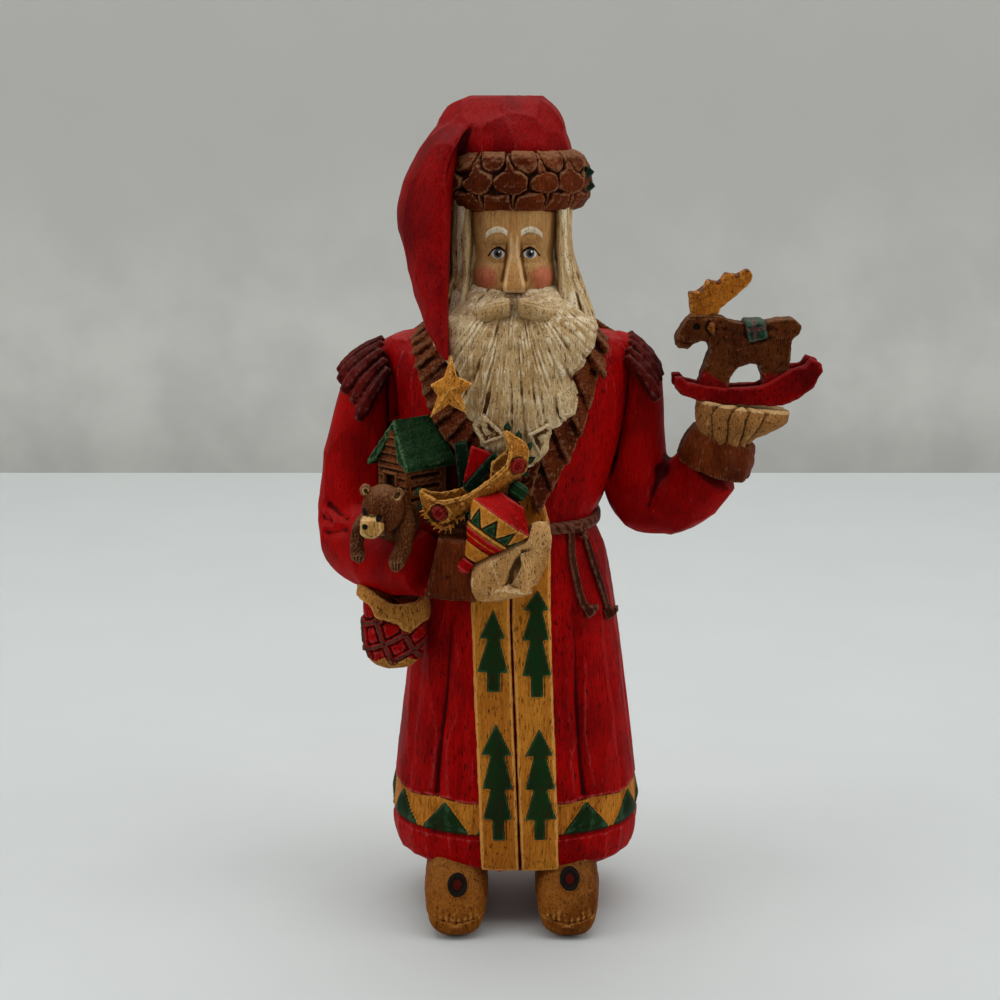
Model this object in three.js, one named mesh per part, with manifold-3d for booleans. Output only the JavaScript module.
// Santa figurine: a cast figure in a long coat with an armful of toys, and a small rocking moose that
// stands on its raised hand. Millimetres, +Z up. The figure faces -Y, +X is the viewer's right.
import * as THREE from "three";
import { ConvexGeometry } from "three/addons/geometries/ConvexGeometry.js";
import { mergeVertices } from "three/addons/utils/BufferGeometryUtils.js";
import Module from "manifold-3d";

const wasm = await Module();
wasm.setup();

// Driving sizes, measured from the axis of the body
const HEIGHT = 255; // soles to the top of the hat
const HEM_HALF_WIDTH = 39.6; // coat at its widest, just above the hem
const HEM_BOTTOM = 18; // underside of the coat over the soles
const WAIST = { z: 126.5, halfWidth: 24.8, front: 24.4, back: 20.5 };
const SHOULDER_HALF_WIDTH = 37.6;
const BOOT = { heel: 16, toe: -37, width: 19.5, spacing: 35.6, height: 21 };
const HEAD = { x: -0.8, y: -3, depth: 20 };
const TRIM = { z: 230.6, halfWidth: 14.4, front: 16.5, back: 15, thickness: 8.4, halfHeight: 8.7 };
const STAR = { radius: 9.6, thickness: 3.6, waist: 0.42 };
const TOP_LENGTH = 27; // spinning top, knob to point
const CANOE_WIDTH = 9;
const CABIN = { length: 18.6, width: 17.4, wall: 14, roof: 12 };
const BAG = { halfWidth: 11.2, halfDepth: 8.2, bottom: 80.6, mouth: 109 };
const MOOSE = { thickness: 7.6, rockerGap: 8.6, rocker: 3.2, x: 68.6, y: -11.5, z: 163.9 };
const PLEATS = [-2.72, -2.05, -1.36, -0.72, 0.6, 1.28, 2.02, 2.7]; // round the skirt, from the front

// Shape helpers
const V = (x, y, z) => new THREE.Vector3(x, y, z);
const lerp = (a, b, t) => a + (b - a) * t;

function solid(geometry) {
  const g = geometry.clone();
  g.deleteAttribute("normal");
  g.deleteAttribute("uv");
  const m = mergeVertices(g, 1e-4);
  return new wasm.Manifold(
    new wasm.Mesh({
      numProp: 3,
      vertProperties: new Float32Array(m.getAttribute("position").array),
      triVerts: new Uint32Array(m.getIndex().array),
    }),
  );
}

const hull = (points) => solid(new ConvexGeometry(points));
const join = (solids) => solids.reduce((a, b) => a.add(b));

// A closed skin over rings of points that have the same count; it is turned to face outward.
function loft(rings, closedLoop = false) {
  const n = rings[0].length;
  const points = rings.flat();
  const index = [];
  const spans = closedLoop ? rings.length : rings.length - 1;
  for (let i = 0; i < spans; i++) {
    const a = i * n;
    const b = ((i + 1) % rings.length) * n;
    for (let j = 0; j < n; j++) {
      const k = (j + 1) % n;
      index.push(a + j, a + k, b + k, a + j, b + k, b + j);
    }
  }
  if (!closedLoop) {
    for (const [start, flip] of [
      [0, true],
      [(rings.length - 1) * n, false],
    ]) {
      const middle = V(0, 0, 0);
      for (let j = 0; j < n; j++) middle.add(points[start + j]);
      points.push(middle.divideScalar(n));
      for (let j = 0; j < n; j++) {
        const k = (j + 1) % n;
        index.push(points.length - 1, start + (flip ? k : j), start + (flip ? j : k));
      }
    }
  }
  let volume = 0;
  for (let i = 0; i < index.length; i += 3) {
    const [p, q, r] = [points[index[i]], points[index[i + 1]], points[index[i + 2]]];
    volume += p.dot(V(0, 0, 0).crossVectors(q, r));
  }
  if (volume < 0) for (let i = 0; i < index.length; i += 3) index.splice(i, 2, index[i + 1], index[i]);
  const geometry = new THREE.BufferGeometry().setFromPoints(points);
  geometry.setIndex(index);
  return solid(geometry);
}

// Level ring: an oval with its own front and back depth; power above 2 squares it.
function ring(z, cx, halfWidth, front, back, count = 16, power = 2, cy = 0) {
  const points = [];
  for (let i = 0; i < count; i++) {
    const a = (i / count) * 2 * Math.PI;
    const s = Math.sin(a);
    const c = Math.cos(a);
    const x = Math.sign(s) * Math.abs(s) ** (2 / power) * halfWidth;
    const y = -Math.sign(c) * Math.abs(c) ** (2 / power) * (c > 0 ? front : back);
    points.push(V(cx + x, cy + y, z));
  }
  return points;
}

// Rounded limb along a path of [x, y, z, radius].
function limb(path, sides) {
  const curve = new THREE.CatmullRomCurve3(path.map(([x, y, z]) => V(x, y, z)));
  const last = path.length - 1;
  const rings = path.map(([x, y, z, r], i) => {
    const along = curve.getTangent(i / last).normalize();
    const side = V(0, 1, 0).cross(along).normalize();
    const up = V(0, 0, 0).crossVectors(along, side);
    return Array.from({ length: sides }, (_, j) => {
      const a = (j / sides) * 2 * Math.PI;
      return V(x, y, z)
        .addScaledVector(side, Math.cos(a) * r)
        .addScaledVector(up, Math.sin(a) * r);
    });
  });
  return loft(rings);
}

function ball(x, y, z, rx, ry, rz) {
  const g = new THREE.IcosahedronGeometry(1);
  g.scale(rx, ry, rz);
  g.translate(x, y, z);
  return solid(g);
}

function round(x, y, z, rx, ry, rz) {
  const g = new THREE.SphereGeometry(1, 10, 7);
  g.scale(rx, ry, rz);
  g.translate(x, y, z);
  return solid(g);
}

function box(x1, x2, y1, y2, z1, z2) {
  return hull([x1, x2].flatMap((x) => [y1, y2].flatMap((y) => [z1, z2].map((z) => V(x, y, z)))));
}

// A body made in its own frame: local +Z goes along `axis`, local +X stays near `across`.
function place(geometry, at, axis, across = V(1, 0, 0)) {
  const z = axis.clone().normalize();
  const y = V(0, 0, 0).crossVectors(z, across).normalize();
  const x = V(0, 0, 0).crossVectors(y, z);
  geometry.applyMatrix4(new THREE.Matrix4().makeBasis(x, y, z).setPosition(at));
  return geometry;
}

// Round or many-sided button that looks along `axis`; its back edge is the wider one.
function button(front, back, thickness, sides, at, axis) {
  const disc = new THREE.CylinderGeometry(front, back, thickness, sides).rotateX(Math.PI / 2);
  return solid(place(disc, at, axis));
}

function plate(outline, thickness) {
  const shape = new THREE.Shape(outline.map(([x, y]) => new THREE.Vector2(x, y)));
  const g = new THREE.ExtrudeGeometry(shape, { depth: thickness, bevelEnabled: false });
  g.translate(0, 0, -thickness / 2);
  return g;
}

// Coat
// Height, half width, front depth, back depth and shift to the side; rows between are interpolated.
const COAT = [
  [HEM_BOTTOM, 33.5, 26.5, 25, 0],
  [21, 38, 30.2, 28.2, 0],
  [29, HEM_HALF_WIDTH, 31.6, 30, 0],
  [60, 36.8, 29.8, 27.4, 0],
  [97, 31.8, 27.2, 23.6, 0],
  [118, 28, 25.4, 21.6, 0],
  [WAIST.z, WAIST.halfWidth, WAIST.front, WAIST.back, 0],
  [134, 27.4, 25, 21.5, 0],
  [152, 33.6, 26.4, 23.4, -1.2],
  [168, 36.6, 25, 23.4, -1.8],
  [178, SHOULDER_HALF_WIDTH, 19.8, 19.4, -2.2],
  [183.4, SHOULDER_HALF_WIDTH - 1, 14.4, 14.8, -2.2],
  [189, 20, 12, 13, -1],
];
const COAT_POWER = 2.35;

function coatAt(z) {
  const i = Math.min(Math.max(COAT.findIndex((row) => row[0] >= z), 1), COAT.length - 1);
  const t = (z - COAT[i - 1][0]) / (COAT[i][0] - COAT[i - 1][0]);
  const [halfWidth, front, back, shift] = COAT[i].slice(1).map((v, k) => lerp(COAT[i - 1][k + 1], v, t));
  return { halfWidth, front, back, shift };
}

const pleatDepth = (z) => (z > 112 ? 0 : 1.5 * Math.min(1, (112 - z) / 40));

function coatPoint(angle, z, out = 0) {
  const { halfWidth, front, back, shift } = coatAt(z);
  const s = Math.sin(angle);
  const c = Math.cos(angle);
  const bend = (v) => Math.sign(v) * Math.abs(v) ** (2 / COAT_POWER);
  return V(shift + bend(s) * (halfWidth + out), -bend(c) * ((c > 0 ? front : back) + out), z);
}

function coatFrontY(x, z, out = 0) {
  const { halfWidth, front, shift } = coatAt(z);
  return -(front + out) * (1 - Math.abs((x - shift) / (halfWidth + out)) ** COAT_POWER) ** (1 / COAT_POWER);
}

function coat() {
  const gap = 0.075;
  const angles = PLEATS.flatMap((a) => [a - gap, a, a + gap]);
  for (let i = 0; i < PLEATS.length; i++) {
    const next = i + 1 < PLEATS.length ? PLEATS[i + 1] : PLEATS[0] + 2 * Math.PI;
    const parts = next - PLEATS[i] > 1 ? 3 : 2;
    for (let k = 1; k < parts; k++) angles.push(lerp(PLEATS[i] + gap, next - gap, k / parts));
  }
  angles.sort((a, b) => a - b);
  const isPleat = (a) => PLEATS.some((p) => Math.abs(p - a) < 1e-6);
  return loft(COAT.map(([z]) => angles.map((a) => coatPoint(a, z, isPleat(a) ? -pleatDepth(z) : 0))));
}

// One of the two boards of the front band; it leans a little to the right towards the hem.
function frontBoard(side) {
  const levels = [19.4, 22.6, 29, 60, 97, 118, 126.5, 134, 144.5];
  return loft(
    levels.map((z) => {
      const middle = lerp(1.4, -1.6, Math.min((z - 20) / 80, 1));
      const half = z > 120 ? 11.6 - Math.max(0, z - 130) * 0.25 : 12.2;
      const [x1, x2] = side > 0 ? [middle + 0.35, middle + half] : [middle - half, middle - 0.35];
      const xs = [x1, lerp(x1, x2, 0.5), x2];
      return [
        ...xs.map((x) => V(x, coatFrontY(x, z, 1.1), z)),
        ...xs.reverse().map((x) => V(x, coatFrontY(x, z, -3), z)),
      ];
    }),
  );
}

function belt() {
  const count = 18;
  const rings = Array.from({ length: count }, (_, i) => {
    const a = (i / count) * 2 * Math.PI;
    return [
      [-1, -2.1],
      [1.8, -1.3],
      [1.8, 1.3],
      [-1, 2.1],
    ].map(([out, up]) => {
      const p = coatPoint(a, WAIST.z, out);
      p.z += up;
      return p;
    });
  });
  const cord = (xTop, path, end) => {
    const p = path.map(([x, z]) => [x, coatFrontY(x, z, 0.7), z, 1.1]);
    const last = p[p.length - 1];
    return join([limb(p, 5), ball(last[0] + end, last[1] - 0.3, last[2] - 1, 2, 1.7, 2.4)]);
  };
  return join([
    loft(rings, true),
    cord(16, [[14.6, 126], [17, 119], [20.6, 108], [22.4, 101]], 0.6),
    cord(20, [[19.4, 126], [22.4, 117], [26, 106], [28.6, 98]], 0.9),
    ball(17, coatFrontY(17, WAIST.z, 0.4), WAIST.z - 1.4, 3.6, 3.2, 3),
  ]);
}

// Arms
const LEFT_ARM = [
  [-34, 0.5, 175.6, 7.8],
  [-42.8, -0.5, 168.6, 9.8],
  [-46.4, -1, 156, 11],
  [-49, -2, 141, 11.4],
  [-50, -3.5, 129.4, 12.6],
  [-47.4, -9.5, 121.2, 13.2],
  [-38.6, -20, 118.4, 11.6],
  [-26, -31, 118.2, 10.4],
];
const RIGHT_ARM = [
  [31, 0.5, 177, 8],
  [36, 0, 169, 9.4],
  [36.8, 0, 158, 9.6],
  [36.8, -0.5, 146, 10.2],
  [41.2, -1.5, 134, 12.8],
  [48.8, -3.5, 132.8, 11.6],
  [55, -6, 137.2, 10.8],
  [60, -8.6, 143.6, 10.4],
];

// Bulging faceted fur cuff between two centres.
function cuff(from, to, r1, r2, sides = 9) {
  const axis = to.clone().sub(from);
  const steps = [
    [0, 0.9],
    [0.22, 1.04],
    [0.7, 1.05],
    [1, 0.96],
  ];
  const frame = place(new THREE.BufferGeometry().setFromPoints([V(1, 0, 0), V(0, 1, 0)]), V(0, 0, 0), axis);
  const p = frame.getAttribute("position");
  const [u, w] = [V(p.getX(0), p.getY(0), p.getZ(0)), V(p.getX(1), p.getY(1), p.getZ(1))];
  return loft(
    steps.map(([t, k]) =>
      Array.from({ length: sides * 2 }, (_, j) => {
        const a = (j / (sides * 2)) * 2 * Math.PI;
        const r = lerp(r1, r2, t) * k * (j % 2 ? 0.95 : 1.02);
        const rim = u.clone().multiplyScalar(Math.cos(a) * r).addScaledVector(w, Math.sin(a) * r);
        return rim.add(from).addScaledVector(axis, t);
      }),
    ),
  );
}

// Strips of fringe that fan from the shoulder seam over the sleeve, from the back to the front.
function fringe(sign, root, tip, foremost) {
  const strips = 6;
  return join(
    Array.from({ length: strips }, (_, i) => {
      const turn = lerp(-1, foremost, i / (strips - 1));
      const bend = Math.abs(turn);
      const from = V(sign * root[0], turn * -8, root[1] - 5 * bend);
      const to = V(sign * (tip[0] - 5.6 * bend ** 1.3), turn * -13, tip[1] - 9.6 * bend);
      const out = V(sign * 0.75, -turn * 0.5, 0.66).normalize();
      const wide = V(0, 0, 0).crossVectors(to.clone().sub(from), out).normalize();
      const point = (t, across, lift) =>
        from.clone().lerp(to, t).addScaledVector(wide, across).addScaledVector(out, lift);
      const sections = [
        [0, 1.2, 0.4],
        [0.5, 1.9, 1.9],
        [1, 2.3, 0.5],
      ];
      return hull(
        sections.flatMap(([t, half, lift]) =>
          [-half, half].flatMap((across) => [point(t, across, lift), point(t, across, lift - 3.6)]),
        ),
      );
    }),
  );
}

// Cloth that joins each sleeve to the side of the coat.
function gusset(sign, inner, outer, low, high) {
  const depth = 11;
  return hull(
    [-depth, depth].flatMap((y) => [
      V(sign * inner, y, low),
      V(sign * inner, y, high),
      V(sign * outer, y / 2, low),
      V(sign * outer, y, high),
    ]),
  );
}

function arms() {
  return join([
    limb(LEFT_ARM, 11),
    limb(RIGHT_ARM, 11),
    gusset(-1, 18, 44, 119, 172),
    gusset(1, 20, 36, 136.5, 168),
    fringe(-1, [39.8, 180.4], [54.4, 171], 1),
    fringe(1, [34.6, 181.6], [44.4, 169.6], 0.6),
    cuff(V(-27.4, -30.6, 118.2), V(-15.4, -36.6, 118.2), 10.6, 10.2),
    cuff(V(59.6, -8.8, 143.6), V(64.9, -10.4, 153.6), 12.9, 10.3),
  ]);
}

// Raised hand: a fluted palm that widens to the seat of the moose.
function raisedHand() {
  const flutes = 5;
  const count = 24;
  const steps = [
    [150.5, 64.4, 8.2, 8.2],
    [153, 64.6, 9, 9.2],
    [157, 66.5, 11.3, 11],
    [160.6, 69, 13.9, 11.4],
    [164.1, 69.1, 13.5, 10.6],
  ];
  return loft(
    steps.map(([z, cx, rx, ry]) =>
      Array.from({ length: count }, (_, i) => {
        const a = (i / count) * 2 * Math.PI;
        const x = Math.sin(a);
        const groove = Math.abs(Math.sin(((x + 1) / 2) * flutes * Math.PI)) < 0.42 ? 0.93 : 1;
        const tilt = z > 160 ? 0.066 * (cx + x * rx - MOOSE.x) : 0;
        return V(cx + x * rx, MOOSE.y - Math.cos(a) * ry * groove, z - tilt);
      }),
    ),
  );
}

// Lower hand: a mitten turned palm up under the toys, with its thumb on the right.
function lowerHand() {
  return join([
    hull([
      V(-16, -30, 127), V(-16, -42, 126), V(-15, -45, 118), V(-14, -40, 109), V(-15, -30, 108),
      V(-6, -46.6, 124.6), V(-5.6, -45.6, 111), V(-5, -38, 107.2), V(-4, -29, 110), V(-4, -28, 128),
      V(3, -44.6, 126.4), V(4, -42.6, 112.6), V(5, -34, 110), V(5.4, -28, 114),
    ]),
    hull([
      V(2, -44, 124), V(3, -42, 113.4), V(6.6, -38, 113.8), V(5, -30, 112), V(9.6, -37, 120.6),
      V(10.4, -37, 128), V(9.6, -36, 133), V(4.6, -41, 133), V(3.4, -43.4, 130.8), V(9, -30, 122),
      V(8, -29, 130),
    ]),
  ]);
}

// Head, hair and hat
function head() {
  const rows = [
    [189, 11, 17.4],
    [196, 12.8, 19.4],
    [200, 13.4, 20],
    [209, 13.2, 19.2],
    [215, 13.4, 20.6],
    [220, 13.8, 20.8],
    [232, 13, 19],
  ];
  const skin = loft(rows.map(([z, w, f]) => ring(z, HEAD.x, w, f, 12, 16, 2.5, HEAD.y)));
  const front = HEAD.y - HEAD.depth;
  const nose = hull([
    V(HEAD.x - 1.7, front + 2, 215), V(HEAD.x + 1.7, front + 2, 215), V(HEAD.x, front - 1, 213.6),
    V(HEAD.x - 3.1, front, 199.4), V(HEAD.x + 3.1, front, 199.4), V(HEAD.x - 1.5, front - 5.4, 200.6),
    V(HEAD.x + 1.5, front - 5.4, 200.6), V(HEAD.x, front - 4.4, 198),
  ]);
  const cheeks = [-1, 1].map((s) => ball(HEAD.x + s * 7.6, front + 4.4, 202.6, 4.8, 3.8, 4.2));
  return join([skin, nose, ...cheeks]);
}

function hair() {
  const count = 20;
  // Every other corner of a ring is pressed in, which leaves flat strands.
  const strands = ([z, w, f, b], squareness, depth) =>
    ring(z, HEAD.x, w, f, b, count, squareness, HEAD.y).map((p, i) => p.add(V(0, i % 2 ? depth : 0, 0)));
  const mass = [
    [225, 16, 12, 18],
    [211, 18, 14.4, 19.6],
    [198, 22.4, 16, 20.6],
    [190, 24.6, 18, 20],
    [176, 19, 18, 15],
  ].map((row) => strands(row, 2.2, 0.5));
  const beard = [
    [200, 12.6, 19, 3],
    [196, 17.6, 24, 3],
    [190.6, 24.4, 28, 3],
    [183, 24.6, 30.4, 3],
    [177, 19.2, 31.4, 3],
    [171.4, 19.4, 32, 3],
    [164, 13.8, 32.2, 3],
    [156, 12, 31.4, 3],
    [149.4, 4.6, 28.6, 1],
  ].map((row) => strands(row, 2.3, 0.9));
  const moustache = [-1, 1].map((s) =>
    hull([
      V(HEAD.x, -27.6, 196.6), V(HEAD.x, -31.4, 194.6), V(HEAD.x, -28, 190.4), V(HEAD.x + s * 5.4, -32, 194),
      V(HEAD.x + s * 5, -27, 197.6), V(HEAD.x + s * 6, -29, 190), V(HEAD.x + s * 11.4, -28.6, 192),
      V(HEAD.x + s * 12.6, -24, 194.6), V(HEAD.x + s * 12, -25, 190), V(HEAD.x + s * 4, -22, 193),
    ]),
  );
  // Hooked locks at the foot of the beard.
  const locks = [
    [-9.6, -32.4, 156.4, 4.6],
    [6.8, -32.4, 155.4, 4.8],
    [13.4, -28.4, 169.4, 4.4],
  ].map(([x, y, z, r]) => button(r * 0.8, r, 4.4, 6, V(x, y, z), V(x * 0.03, -1, -0.1)));
  return join([loft(mass), loft(beard), ...moustache, ...locks]);
}

function trim() {
  const tiles = 12;
  const rows = [
    [0.98, 0.3],
    [0.74, 0.76],
    [0.34, 0.88],
    [0, 1],
    [-0.38, 0.86],
    [-0.76, 0.7],
    [-1, 0.25],
  ];
  const count = tiles * 2;
  return loft(
    rows.map(([up, out], r) =>
      Array.from({ length: count }, (_, i) => {
        const a = ((i + (r > 1 && r < 5 ? 1 : 0)) / count) * 2 * Math.PI;
        const grow = TRIM.thickness * (out - (i % 2 ? 0.13 : 0));
        const c = Math.cos(a);
        return V(
          HEAD.x + Math.sin(a) * (TRIM.halfWidth + grow),
          HEAD.y + 1 - c * ((c > 0 ? TRIM.front : TRIM.back) + grow * 0.9),
          TRIM.z + up * TRIM.halfHeight + (r === 0 || r === rows.length - 1 ? 0 : (i % 2 ? 0.5 : -0.5) * up),
        );
      }),
    ),
  );
}

function hat() {
  const crown = [
    [234, -1, 16, 17, 16],
    [239.4, -1.6, 18.6, 18.4, 17.4],
    [246, -3.8, 18.6, 15.6, 15],
    [250.6, -4.2, 16.4, 12, 12],
    [253.6, -4.2, 12.8, 8.6, 8.8],
    [HEIGHT, -3.8, 9.6, 5.6, 6],
  ].map(([z, cx, w, f, b]) => ring(z, cx, w, f, b, 14, 2.2, HEAD.y + 1));
  // The tail folds over to the left and hangs to the star: height, then the six corners of its section.
  const tail = [
    [249, -21.4, -5, -17, -12, -8, -13, -6, 0, -12, 9, -18, 5],
    [240, -28.6, -8, -23.6, -18.4, -13, -20, -9, -2, -15, 12, -24, 8],
    [230, -33.2, -10, -29, -20, -19, -24, -14, -8, -18, 8, -28, 5],
    [221.4, -35.6, -12, -31, -22, -18.6, -26.4, -14, -10, -19, 4, -30, 1],
    [208, -32.8, -16, -29, -25, -18.2, -29, -15, -15, -19, -3, -28, -5],
    [196, -28.8, -21, -26, -28.6, -18, -31.4, -15.6, -19, -20, -11, -25, -12],
    [187, -24.2, -26.4, -23, -31.6, -18, -33.2, -16, -25, -19.6, -18, -22.6, -20],
    [180.6, -20.8, -31, -20.4, -33, -18.8, -33.4, -18, -30, -19, -28.6, -20.4, -29],
  ].map(([z, ...c]) => Array.from({ length: 6 }, (_, i) => V(c[2 * i], c[2 * i + 1], z)));
  const sprig = [
    [20.6, -10, 233, 0.5],
    [21.4, -8.4, 229.6, -0.3],
  ].map(([x, y, z, tip]) =>
    hull([
      V(x - 3, y, z - 2), V(x - 3, y + 3, z + 2), V(x + 2.2, y + 1, z + tip), V(x, y - 1.6, z + 2.4),
      V(x, y + 3, z - 2.4), V(x - 1, y - 2, z - 1.6),
    ]),
  );
  return join([loft(crown), loft(tail), ...sprig]);
}

function star() {
  const outline = Array.from({ length: 10 }, (_, i) => {
    const a = Math.PI / 2 + (i * Math.PI) / 5;
    const r = STAR.radius * (i % 2 ? STAR.waist : 1);
    return [r * Math.cos(a) * 0.8, r * Math.sin(a)];
  });
  const facing = V(-0.34, -1, 0.1);
  return solid(place(plate(outline, STAR.thickness), V(-19, -33.4, 171.4), facing, V(1, -0.34, 0)));
}

// Collar: a band of fur blocks along each side from the nape to the point on the chest.
function collarSide(points, blocks) {
  const curve = new THREE.CatmullRomCurve3(points.map(([x, y, z]) => V(x, y, z)));
  const steps = [
    [0, 4.4, 1.5],
    [0.24, 4.9, 3],
  ];
  const rings = [];
  for (let i = 0; i < blocks; i++) {
    for (const [t, half, high] of steps) {
      const at = (i + t) / blocks;
      const p = curve.getPointAt(at);
      const along = curve.getTangentAt(at);
      const out = V(p.x * 0.35, p.y - 4, 10 - Math.abs(p.y) * 0.3).normalize();
      const across = V(0, 0, 0).crossVectors(along, out).normalize();
      rings.push(
        [[-half, -4], [-half + 0.5, high], [half - 0.5, high], [half, -4]].map(([w, h]) =>
          p.clone().addScaledVector(across, w).addScaledVector(out, h)),
      );
    }
  }
  return loft(rings);
}

const COLLAR_LEFT = [
  [2, 17, 187.4], [-16, 14, 187.4], [-28.2, 3, 186], [-29.2, -8, 180.6], [-26, -20, 168.6], [-18.6, -26, 156],
  [-5, -28, 146.4], [8.6, -27, 141.6],
];
const COLLAR_RIGHT = [
  [-2, 17, 187.4], [14, 14, 187.4], [25.2, 3, 186], [26.2, -8, 180.6], [23, -19, 168.4], [17, -24.4, 157],
  [9, -27, 144],
];

function collar() {
  return join([collarSide(COLLAR_LEFT, 16), collarSide(COLLAR_RIGHT, 14)]);
}

// Boots
function boot(side) {
  const cx = side * BOOT.spacing * 0.5 - 0.4;
  const half = BOOT.width / 2;
  const rows = [ // y, half width, top, bottom
    [BOOT.heel, 6.6, 20, 1.4],
    [12, 9.2, BOOT.height, 0],
    [-17, 9.2, BOOT.height, 0],
    [-25, half, 17.6, 0],
    [-31, half, 11.8, 0],
    [-35, 8.4, 8, 0.2],
    [BOOT.toe, 5.4, 5, 1.2],
  ];
  const upper = loft(
    rows.map(([y, w, top, low]) =>
      Array.from({ length: 12 }, (_, i) => {
        const a = (i / 12) * 2 * Math.PI;
        const s = Math.sin(a);
        const c = Math.cos(a);
        const up = Math.sign(c) * Math.abs(c) ** 0.7;
        const z = Math.max((top + low) / 2 + (up * (top - low)) / 2, low);
        return V(cx + Math.sign(s) * Math.abs(s) ** 0.75 * w, y, z);
      }),
    ),
  );
  const edges = rows.flatMap(([y, w]) => [[y, w], [y, -w]]);
  const sole = hull(edges.flatMap(([y, w]) => [V(cx + w * 0.86, y * 0.97, 0), V(cx + w, y, 2.6)]));
  const rosette = button(3, 3.4, 2.4, 8, V(cx, -26.4, 16), V(0, -0.62, 0.78));
  return join([upper, sole, rosette]);
}

// Toys in the lower arm
function cabin() {
  const { length, width, wall, roof } = CABIN;
  const end = length / 2;
  const side = width / 2;
  const inner = side - 2.4;
  const ridge = wall + roof;
  const room = hull(
    [1 - end, end - 1].flatMap((x) => [
      V(x, -inner, 0), V(x, inner, 0), V(x, -inner, wall), V(x, inner, wall), V(x, 0, ridge - 2.6),
    ]),
  );
  const slope = (s) =>
    hull(
      [-end - 0.6, end].flatMap((x) => [
        V(x, s * (side + 0.4), wall - 2.2),
        V(x, s * (side + 0.4), wall - 0.4),
        V(x, s * side * 0.6, wall),
        V(x * 0.74, 0, ridge),
        V(x * 0.74, 0, ridge - 2.6),
      ]),
    );
  const log = (i) => box(0.7 - end, end - 0.7, -inner - 0.5, inner + 0.5, 0.6 + i * 4.4, 4 + i * 4.4);
  const doorway = box(-end - 2, 2.6 - end, -2.6, 2.6, -1, 8.6);
  const turn = new THREE.Matrix4().makeRotationZ(0.74).setPosition(-31, -26.6, 134.4);
  return join([room, slope(-1), slope(1), log(0), log(1), log(2)]).subtract(doorway).transform(turn.elements);
}

function bear() {
  const [x, y, z] = [-38.6, -37.4, 134.8];
  const arm = (path) => limb(path.map(([dx, dy, dz, r]) => [x + dx, y + dy, z + dz, r]), 6);
  return join([
    round(x, y, z, 6.7, 6.2, 6.6),
    ball(x + 4, y + 6, z - 7, 8.6, 9, 9),
    ball(x - 5.2, y + 0.6, z + 6.2, 2.3, 1.6, 2.3),
    ball(x + 4.6, y + 0.6, z + 5.4, 2.3, 1.6, 2.3),
    ball(x - 2.8, y - 5.6, z - 3.6, 3.9, 3.8, 3.4),
    ball(x - 4.4, y - 8.6, z - 2.6, 1.2, 1, 1),
    arm([[-5, 3, -5, 3], [-9, -0.6, -8.6, 3.4], [-9.4, -1.4, -14, 3.3], [-8.6, -2, -17.6, 2.2]]),
    arm([[7.6, 4, -1.4, 4.6], [7.4, -0.6, -6, 4.8], [4.6, -3.4, -12, 4], [2, -3.6, -16.4, 2.6]]),
  ]);
}

function canoe() {
  // Keel points with the hull's half height and the rise of the rim over them, left tip to right tip.
  const rows = [
    [-28.4, 141.2, 1.2],
    [-26, 137, 4.4],
    [-20.4, 134.2, 5.6],
    [-13, 136.4, 4.8],
    [-5.6, 141.4, 4.8],
    [0.2, 148, 5.4],
    [1.2, 153.6, 4.2],
    [-3, 158.4, 1.2],
  ];
  const y = -38.6;
  const hullBody = loft(
    rows.map(([x, z, h], i) => {
      const t = i / (rows.length - 1);
      const wide = 1 + (CANOE_WIDTH / 2) * Math.sin(Math.PI * Math.min(Math.max(t, 0.12), 0.88));
      const lean = lerp(0.5, 0.75, t);
      const up = V(-Math.sin(lean) * 0.5, 0.35, 1).normalize();
      return Array.from({ length: 8 }, (_, j) => {
        const a = (j / 8) * 2 * Math.PI + Math.PI / 8;
        return V(x, y, z).addScaledVector(up, Math.cos(a) * h).add(V(0, Math.sin(a) * wide, 0));
      });
    }),
  );
  const rosettes = [
    [-22.6, -43.6, 135.4],
    [0.4, -42.6, 149.8],
  ].map((at) => button(2.3, 2.6, 2.4, 8, V(...at), V(0.05, -1, 0.1)));
  const leaves = [
    [-24.6, 130.4, -0.6, -1],
    [-20, 129.4, 0.4, -1],
    [3.2, 155, 1, 0.5],
    [4.4, 150.6, 1, -0.3],
  ].map(([x, z, dx, dz]) =>
    hull([
      V(x - dz * 1.6, y - 2, z + dx * 1.6),
      V(x + dz * 1.6, y - 2, z - dx * 1.6),
      V(x + dx * 3, y - 3, z + dz * 3),
      V(x - dx * 4, y - 3.6, z - dz * 4),
      V(x, y + 1.6, z),
    ]),
  );
  const pennant = hull([
    V(-17.6, -30, 156.4), V(-17.4, -35, 156), V(-7, -31, 155), V(-7, -35.4, 154), V(-16, -37, 141),
    V(-12, -30, 141), V(-9, -36, 145),
  ]);
  const book = hull([
    V(-5.6, -31, 153.6), V(-4, -36, 151), V(-14, -38, 143), V(-3, -30, 148), V(-12, -31, 141),
  ]);
  return join([hullBody, ...rosettes, ...leaves, pennant, book]);
}

function spinningTop() {
  // Distance from the knob and radius.
  const profile = [
    [0, 0], [0, 1.5], [2, 2.2], [3.4, 4], [9.4, 10.4], [16.6, 6.6], [17.4, 6.9], [22.8, 2.2], [24.6, 1.9],
    [TOP_LENGTH, 0.8], [TOP_LENGTH, 0],
  ];
  const g = new THREE.LatheGeometry(profile.map(([s, r]) => new THREE.Vector2(r, -s)).reverse(), 12);
  g.rotateX(Math.PI / 2); // the knob is up along local +Z
  return solid(place(g, V(0.8, -38.6, 142.6), V(0.56, 0.12, 0.79)));
}

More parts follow.
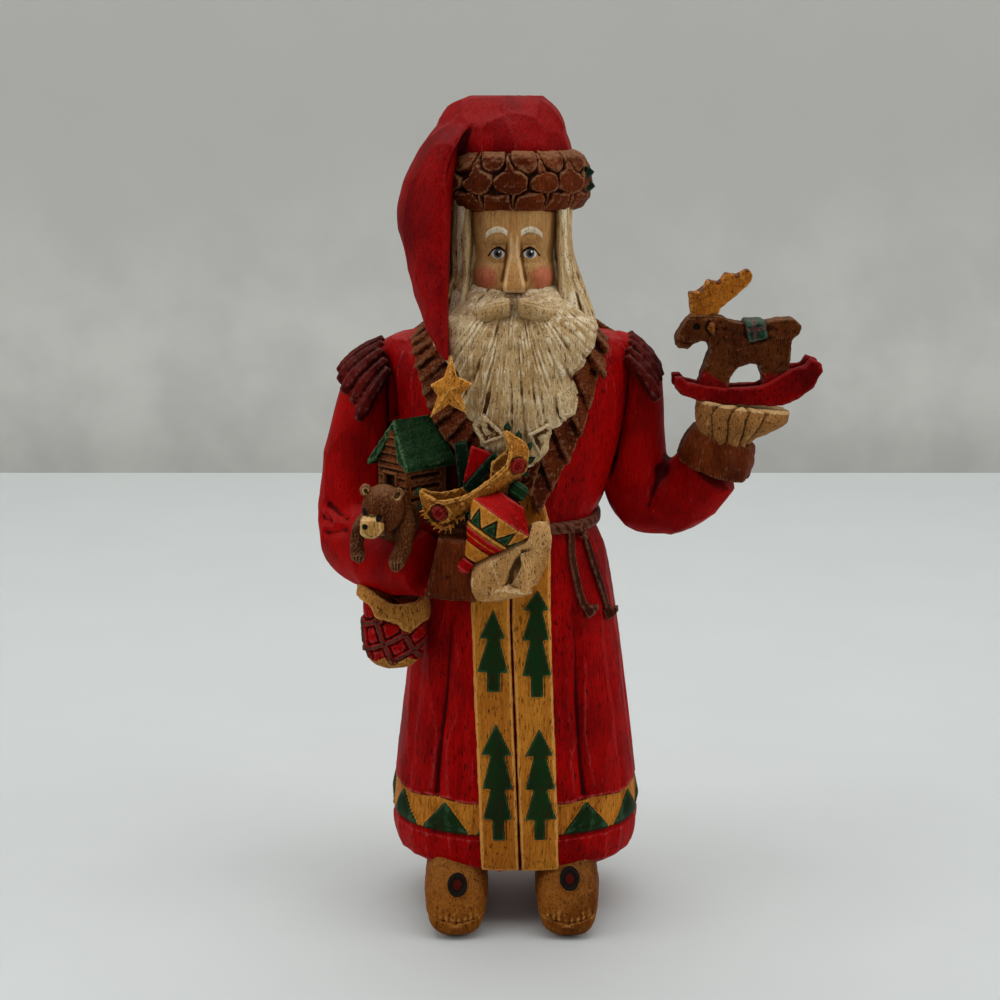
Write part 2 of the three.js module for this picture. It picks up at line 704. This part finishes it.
function bag() {
  const { halfWidth, halfDepth, bottom, mouth } = BAG;
  const cx = -37.9;
  const cy = -22;
  const rows = [
    [0, 0.42],
    [0.06, 0.74],
    [0.2, 0.95],
    [0.5, 1],
    [0.7, 0.86],
    [0.75, 0.9],
    [1, 0.74],
  ];
  return loft(
    rows.map(([t, k]) => {
      const depth = halfDepth * k;
      return ring(lerp(bottom, mouth, t), cx + 2.4 * (1 - t), halfWidth * k, depth, depth, 14, 2.3, cy);
    }),
  );
}

// Moose
// Outlines in its own plane: along X from the middle, and up from the foot of the rockers.
const MOOSE_BODY = [
  [-16.6, 27], [-18.6, 24.4], [-21, 20.1], [-20.4, 17.2], [-17.2, 16.8], [-15.4, 18.4], [-13.1, 19.4],
  [-11.2, 18.6], [-10.4, 16.7], [-11.9, 12.6], [-13.6, 7], [-13, 4], [-4.6, 4], [-4.4, 8], [-2, 11.3],
  [1.7, 12.4], [4.2, 12], [5.6, 8], [5.6, 4], [13.2, 5.4], [13.6, 13], [13.9, 19.6], [16.1, 21.4],
  [16.9, 23.6], [14.3, 26], [9.7, 25.8], [5.1, 24.8], [-0.8, 24.6], [-5, 25.4], [-7.9, 26.9],
];
const ANTLER = [
  [-16.2, 26.6], [-17.2, 33.2], [-16.6, 33.9], [-14.6, 33.7], [-12.4, 35.6], [-11.4, 37.2], [-8, 36.8],
  [-6.2, 39.5], [-2.8, 38.8], [-0.9, 40.2], [0.8, 40.4], [1.9, 38.8], [1.4, 36.9], [-2.4, 33.2],
  [-7.7, 28.9], [-8.2, 26.9],
];
const ROCKER = [
  [-21.4, 9.3], [-21.2, 6], [-19.2, 3.6], [-14, 2], [-7, 1], [0, 0.4], [6, 0], [11.4, 0], [16.4, 2.2],
  [20.6, 5.6], [23.1, 10.2], [22.6, 12.9], [19.4, 14.3], [17.8, 12], [14, 10.8], [10, 8], [4.6, 5.4],
  [-5, 4.8], [-12, 5.8], [-15, 6.8], [-17.8, 7.9], [-18.8, 9.7],
];

function moose() {
  const upright = (outline, thickness, y) => {
    const g = plate(outline, thickness);
    g.rotateX(Math.PI / 2);
    g.translate(MOOSE.x, MOOSE.y + y, MOOSE.z);
    return solid(g);
  };
  const y = MOOSE.rockerGap / 2;
  const local = (dx, dy, dz) => V(MOOSE.x + dx, MOOSE.y + dy, MOOSE.z + dz);
  const flank = MOOSE.thickness / 2;
  // Each pair of legs stands on both rockers.
  const legs = (x1, x2, low, high) =>
    hull(
      [x1, x2].flatMap((x) =>
        [-1, 1].flatMap((s) => [local(x, s * (y + 0.4), low), local(x, s * flank, high)]),
      ),
    );
  const ear = (s) =>
    hull([
      local(-12.6, s * 3, 24), local(-9, s * 3, 25), local(-9.4, s * 3, 20.6), local(-10.6, s * 5.8, 24.4),
      local(-9.8, s * 5.6, 21.6),
    ]);
  return join([
    upright(MOOSE_BODY, MOOSE.thickness, 0),
    upright(ANTLER, 5, 0),
    upright(ROCKER, MOOSE.rocker, -y),
    upright(ROCKER, MOOSE.rocker, y),
    legs(-12.6, -4.8, 4.4, 11),
    legs(6, 13, 5, 12),
    ear(-1),
    ear(1),
  ]);
}

// Assembly
function santaFigure() {
  return join([
    coat(), frontBoard(-1), frontBoard(1), belt(), arms(), raisedHand(), lowerHand(),
    head(), hair(), trim(), hat(), star(), collar(), boot(-1), boot(1),
    cabin(), bear(), canoe(), spinningTop(), bag(),
  ]);
}

function meshOf(body, name, color) {
  const { vertProperties, triVerts, numProp } = body.getMesh();
  const points = [];
  for (let i = 0; i < vertProperties.length; i += numProp) points.push(V(...vertProperties.slice(i, i + 3)));
  const geometry = new THREE.BufferGeometry().setFromPoints(points);
  geometry.setIndex([...triVerts]);
  const mesh = new THREE.Mesh(geometry, new THREE.MeshStandardMaterial({ color, roughness: 0.6 }));
  mesh.name = name;
  return mesh;
}

const group = new THREE.Group();
group.add(meshOf(santaFigure(), "santa_figure", 0x8e1512));
group.add(meshOf(moose(), "rocking_moose", 0x55301a));

// The origin is under the middle of the whole, on the soles.
const bounds = new THREE.Box3().setFromObject(group);
const shift = V(-(bounds.min.x + bounds.max.x) / 2, -(bounds.min.y + bounds.max.y) / 2, -bounds.min.z);
group.children.forEach((mesh) => mesh.geometry.translate(shift.x, shift.y, shift.z));

export default group;
